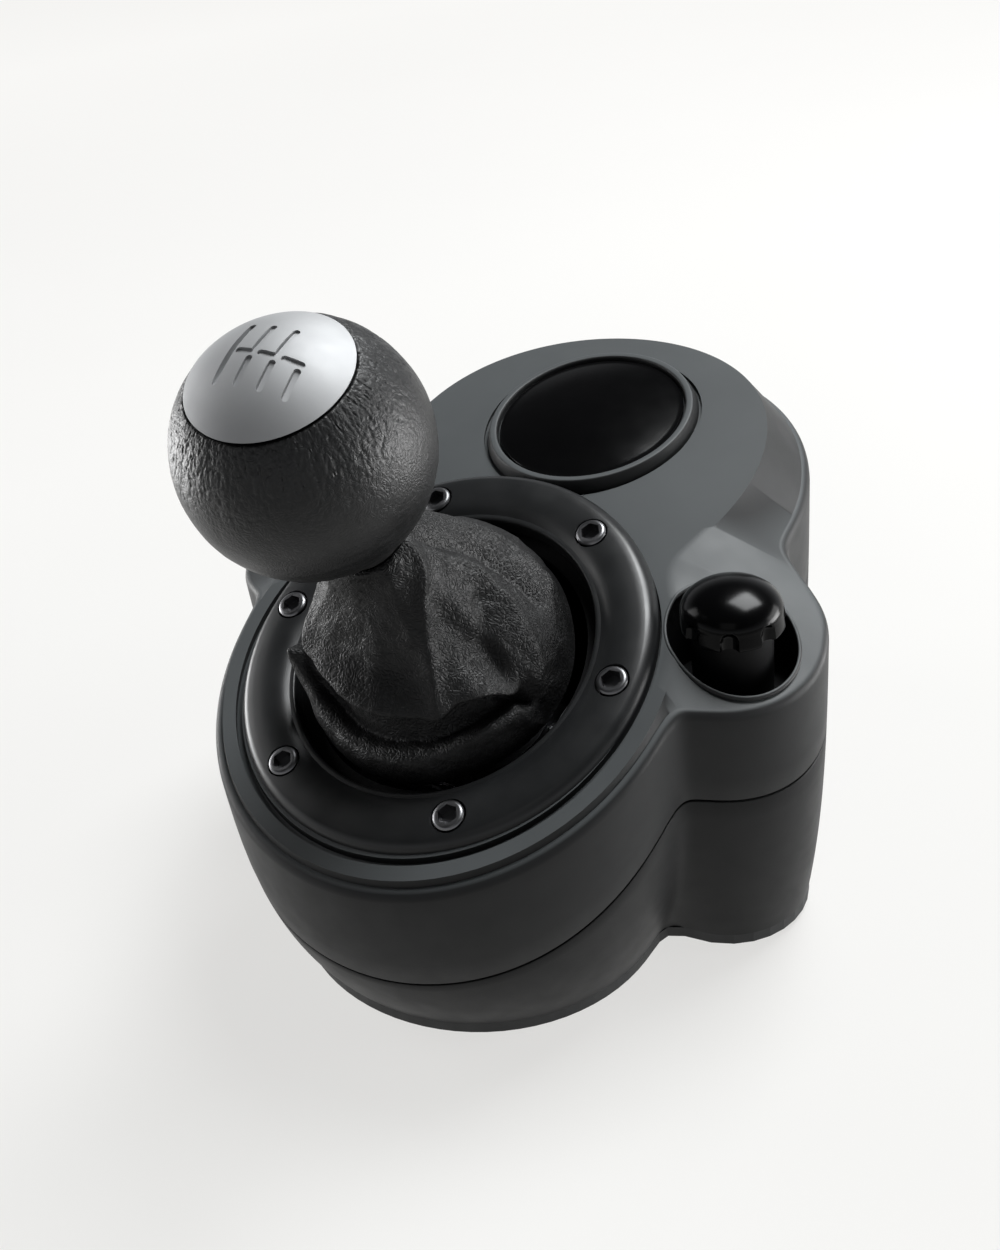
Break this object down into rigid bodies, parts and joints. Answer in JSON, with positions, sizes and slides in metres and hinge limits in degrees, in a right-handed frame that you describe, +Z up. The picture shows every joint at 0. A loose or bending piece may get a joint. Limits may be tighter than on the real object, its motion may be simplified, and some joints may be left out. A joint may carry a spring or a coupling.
{
  "type": "sim racing gear shifter",
  "caption": "Desk-clamped gear shifter for driving games: lobed housing, leather boot in a bolted ring, ball knob on a gated lever, and two screw clamps under round knobs.",
  "frame": {"origin": "middle of the underside, on the desk, at the sole of the middle foot", "axes": "+X to the driver's right, +Y away from the driver towards the cable inlet, +Z up from the desk"},
  "size_m": [0.1564, 0.174, 0.1685],
  "materials": {
    "deck": "satin",
    "body": "satin",
    "base": "matte",
    "rubber": "matte",
    "steel": "brushed",
    "brass": "machined",
    "ring": "satin black",
    "black_steel": "blackened",
    "retainer": "satin",
    "boot_leather": "grained",
    "ball_leather": "grained",
    "gloss_black": "glossy",
    "frame_metal": "satin",
    "gate_metal": "brushed",
    "mechanism_plastic": "matte",
    "sensor_case": "matte",
    "board": "satin",
    "gland_plastic": "matte",
    "cap_metal": "satin",
    "collar_plastic": "satin"
  },
  "bodies": {
    "housing": {"upper_housing": "deck", "lower_housing": "body", "base_plate": "base", "base_feet": "rubber", "base_screws": "steel", "housing_screws": "steel", "mount_inserts": "brass", "boot_ring": "ring", "ring_screws": "black_steel", "boot_retainer": "retainer", "shift_boot": "boot_leather", "badge_bezel": "deck", "badge_disc": "gloss_black", "mechanism_frame": "frame_metal", "frame_screws": "steel", "gimbal_bushes": "brass", "gate_plate": "gate_metal", "gate_screws": "steel", "fore_aft_sensor": "sensor_case", "circuit_board": "board", "board_screws": "steel", "cable_gland": "gland_plastic", "clamp_bushes": "brass"},
    "gimbal": {"gimbal_ring": "mechanism_plastic", "gimbal_pins": "steel", "select_sensor": "sensor_case", "select_spring": "steel"},
    "lever": {"lever_sleeve": "mechanism_plastic", "select_pins": "steel", "reverse_sensor": "sensor_case"},
    "shaft": {"shift_shaft": "steel", "push_spring": "steel", "knob_collar": "collar_plastic", "knob_ball": "ball_leather", "knob_cap": "cap_metal"},
    "clamp_knob_left": {"clamp_knob_left": "gloss_black", "clamp_screw_left": "steel"},
    "clamp_jaw_left": {"clamp_jaw_left": "frame_metal", "clamp_nut_left": "steel", "clamp_pad_left": "rubber"},
    "clamp_knob_right": {"clamp_knob_right": "gloss_black", "clamp_screw_right": "steel"},
    "clamp_jaw_right": {"clamp_jaw_right": "frame_metal", "clamp_nut_right": "steel", "clamp_pad_right": "rubber"}
  },
  "joints": [
    {"name": "fore_aft_shift", "type": "hinge", "parent": "housing", "child": "gimbal", "pos_m": [0, -0.02198, 0.05077], "axis": [1, 0, 0], "range_deg": [-14, 14], "deforming": ["shift_boot"]},
    {"name": "side_select", "type": "hinge", "parent": "gimbal", "child": "lever", "pos_m": [0, -0.02198, 0.05077], "axis": [0, 0.9135, 0.4067], "range_deg": [-10, 10], "stiffness_Nm_per_rad": 4, "deforming": ["shift_boot"]},
    {"name": "reverse_push", "type": "slide", "parent": "lever", "child": "shaft", "axis": [0, 0.4067, -0.9135], "range_m": [0, 0.004], "stiffness_N_per_m": 2000, "springref_m": -0.004, "deforming": ["shift_boot", "push_spring"]},
    {"name": "clamp_knob_left_turn", "type": "hinge", "parent": "housing", "child": "clamp_knob_left", "pos_m": [-0.06003, -0.0095, 0.08], "axis": [0, 0, 1], "range_deg": [0, 2160]},
    {"name": "clamp_jaw_left_slide", "type": "slide", "parent": "housing", "child": "clamp_jaw_left", "axis": [0, 0, -1], "range_m": [0, 0.03]},
    {"name": "clamp_knob_right_turn", "type": "hinge", "parent": "housing", "child": "clamp_knob_right", "pos_m": [0.06003, -0.0095, 0.08], "axis": [0, 0, 1], "range_deg": [0, 2160]},
    {"name": "clamp_jaw_right_slide", "type": "slide", "parent": "housing", "child": "clamp_jaw_right", "axis": [0, 0, -1], "range_m": [0, 0.03]}
  ],
  "couplings": [
    {"joint": "clamp_knob_left_turn", "follows": "clamp_jaw_left_slide", "rad_per_m": 1256.6},
    {"joint": "clamp_knob_right_turn", "follows": "clamp_jaw_right_slide", "rad_per_m": 1256.6}
  ]
}
